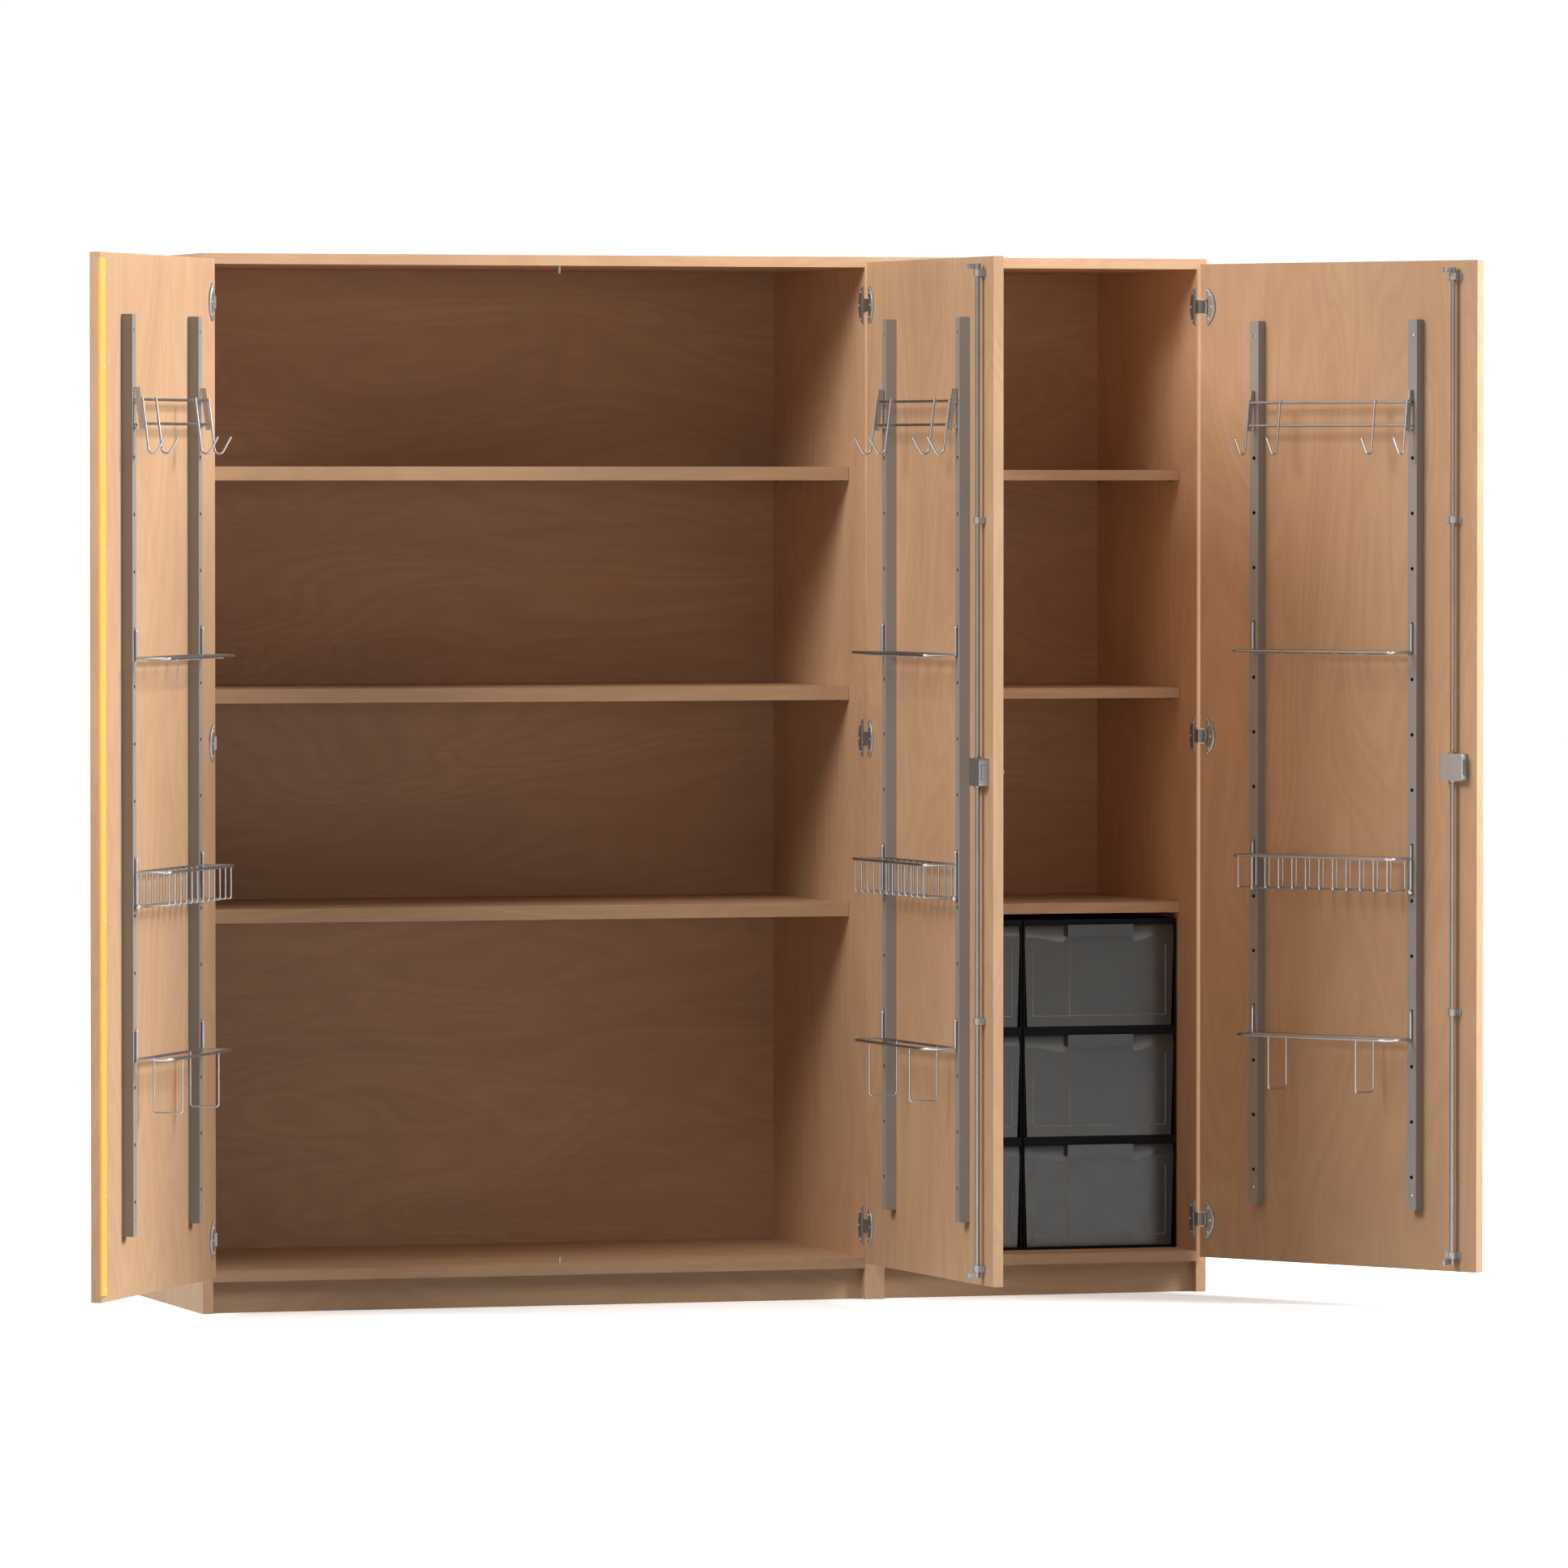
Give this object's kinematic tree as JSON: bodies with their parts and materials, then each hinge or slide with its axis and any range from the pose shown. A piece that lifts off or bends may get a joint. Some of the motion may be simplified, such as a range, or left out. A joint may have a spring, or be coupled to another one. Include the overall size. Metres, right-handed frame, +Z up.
{
  "type": "lockable storage cabinet",
  "caption": "Lockable hinged-door storage cabinet with a wide and a narrow bay, shelves, pull-out drawers, and rails with wire baskets and hooks inside the doors.",
  "frame": {"origin": "on the floor under the centre of the partition that both bays share", "axes": "+X to the right along the front, +Y from the front to the back, +Z up"},
  "size_m": [2.5725, 1.2187, 1.9],
  "materials": {
    "beech_board": "beech laminate, matt",
    "rail_aluminium": "satin anodised",
    "black_plastic": "moulded, fine grain",
    "smoke_plastic": "smoke-grey translucent",
    "knob_plastic": "moulded",
    "yellow_strip": "smooth",
    "nickel_steel": "nickel plated",
    "chrome_wire": "bright plated wire"
  },
  "bodies": {
    "root": {"left_side_panel": "beech_board", "middle_partition": "beech_board", "right_side_panel": "beech_board", "top_panel": "beech_board", "wide_bottom_panel": "beech_board", "narrow_bottom_panel": "beech_board", "wide_plinth_board": "beech_board", "narrow_plinth_board": "beech_board", "wide_back_panel": "beech_board", "narrow_back_panel": "beech_board", "wide_lower_shelf": "beech_board", "wide_middle_shelf": "beech_board", "wide_upper_shelf": "beech_board", "narrow_lower_shelf": "beech_board", "narrow_middle_shelf": "beech_board", "narrow_upper_shelf": "beech_board", "shelf_pins": "nickel_steel", "rod_strikes": "nickel_steel", "hinge_frame_plates": "nickel_steel", "hinge_pins": "nickel_steel", "left_drawer_housings": "black_plastic", "right_drawer_housings": "black_plastic"},
    "left_door": {"left_door": "beech_board", "left_closing_strip": "yellow_strip", "left_hinge_door_plates": "nickel_steel", "left_door_rails": "rail_aluminium", "left_hook_rail": "chrome_wire", "left_wire_shelf": "chrome_wire", "left_basket": "chrome_wire", "left_bottle_holder": "chrome_wire"},
    "middle_door": {"middle_door": "beech_board", "middle_hinge_door_plates": "nickel_steel", "middle_door_rails": "rail_aluminium", "middle_hook_rail": "chrome_wire", "middle_wire_shelf": "chrome_wire", "middle_basket": "chrome_wire", "middle_bottle_holder": "chrome_wire", "middle_lock_case": "nickel_steel", "middle_rod_guides": "nickel_steel"},
    "middle_lock_rod": {"middle_lock_rod": "nickel_steel"},
    "middle_knob": {"middle_knob": "knob_plastic"},
    "middle_side_bolt": {"middle_side_bolt": "nickel_steel"},
    "right_door": {"right_door": "beech_board", "right_hinge_door_plates": "nickel_steel", "right_door_rails": "rail_aluminium", "right_hook_rail": "chrome_wire", "right_wire_shelf": "chrome_wire", "right_basket": "chrome_wire", "right_bottle_holder": "chrome_wire", "right_lock_case": "nickel_steel", "right_rod_guides": "nickel_steel"},
    "right_lock_rod": {"right_lock_rod": "nickel_steel"},
    "right_knob": {"right_knob": "knob_plastic"},
    "right_side_bolt": {"right_side_bolt": "nickel_steel"},
    "left_lower_drawer": {"left_lower_drawer": "smoke_plastic"},
    "left_middle_drawer": {"left_middle_drawer": "smoke_plastic"},
    "left_upper_drawer": {"left_upper_drawer": "smoke_plastic"},
    "right_lower_drawer": {"right_lower_drawer": "smoke_plastic"},
    "right_middle_drawer": {"right_middle_drawer": "smoke_plastic"},
    "right_upper_drawer": {"right_upper_drawer": "smoke_plastic"}
  },
  "joints": [
    {"name": "left_door_swing", "type": "hinge", "parent": "root", "child": "left_door", "pos_m": [-1.2555, -0.3055, 1.024], "axis": [0, 0, -1], "range_deg": [-122.5, 57.5]},
    {"name": "middle_door_swing", "type": "hinge", "parent": "root", "child": "middle_door", "pos_m": [-0.0055, -0.3055, 1.024], "axis": [0, 0, 1], "range_deg": [-93.5, 0]},
    {"name": "right_door_swing", "type": "hinge", "parent": "root", "child": "right_door", "pos_m": [0.6335, -0.3055, 1.024], "axis": [0, 0, 1], "range_deg": [-122.5, 57.5]},
    {"name": "middle_rod_turn", "type": "hinge", "parent": "middle_door", "child": "middle_lock_rod", "pos_m": [0.0043, -0.88348, 0.977], "axis": [0, 0, 1], "range_deg": [0, 90]},
    {"name": "middle_knob_turn", "type": "hinge", "parent": "middle_door", "child": "middle_knob", "pos_m": [0.03524, -0.88159, 0.977], "axis": [0.9981, 0.061, 0], "range_deg": [0, 90]},
    {"name": "middle_bolt_throw", "type": "slide", "parent": "middle_door", "child": "middle_side_bolt", "axis": [0.061, -0.9981, 0], "range_m": [0, 0.01]},
    {"name": "right_rod_turn", "type": "hinge", "parent": "right_door", "child": "right_lock_rod", "pos_m": [0.92658, -0.81301, 0.977], "axis": [0, 0, 1], "range_deg": [0, 90]},
    {"name": "right_knob_turn", "type": "hinge", "parent": "right_door", "child": "right_knob", "pos_m": [0.95273, -0.79635, 0.977], "axis": [0.8434, 0.5373, 0], "range_deg": [0, 90]},
    {"name": "right_bolt_throw", "type": "slide", "parent": "right_door", "child": "right_side_bolt", "axis": [0.5373, -0.8434, 0], "range_m": [0, 0.01]},
    {"name": "left_lower_drawer_slide", "type": "slide", "parent": "root", "child": "left_lower_drawer", "axis": [0, -1, 0], "range_m": [0, 0.25]},
    {"name": "left_middle_drawer_slide", "type": "slide", "parent": "root", "child": "left_middle_drawer", "axis": [0, -1, 0], "range_m": [0, 0.25]},
    {"name": "left_upper_drawer_slide", "type": "slide", "parent": "root", "child": "left_upper_drawer", "axis": [0, -1, 0], "range_m": [0, 0.25]},
    {"name": "right_lower_drawer_slide", "type": "slide", "parent": "root", "child": "right_lower_drawer", "axis": [0, -1, 0], "range_m": [0, 0.25]},
    {"name": "right_middle_drawer_slide", "type": "slide", "parent": "root", "child": "right_middle_drawer", "axis": [0, -1, 0], "range_m": [0, 0.25]},
    {"name": "right_upper_drawer_slide", "type": "slide", "parent": "root", "child": "right_upper_drawer", "axis": [0, -1, 0], "range_m": [0, 0.25]}
  ],
  "couplings": [
    {"joint": "middle_knob_turn", "follows": "middle_rod_turn", "ratio": 1},
    {"joint": "middle_bolt_throw", "follows": "middle_rod_turn", "m_per_rad": 0.0063661},
    {"joint": "right_knob_turn", "follows": "right_rod_turn", "ratio": 1},
    {"joint": "right_bolt_throw", "follows": "right_rod_turn", "m_per_rad": 0.0063661}
  ]
}
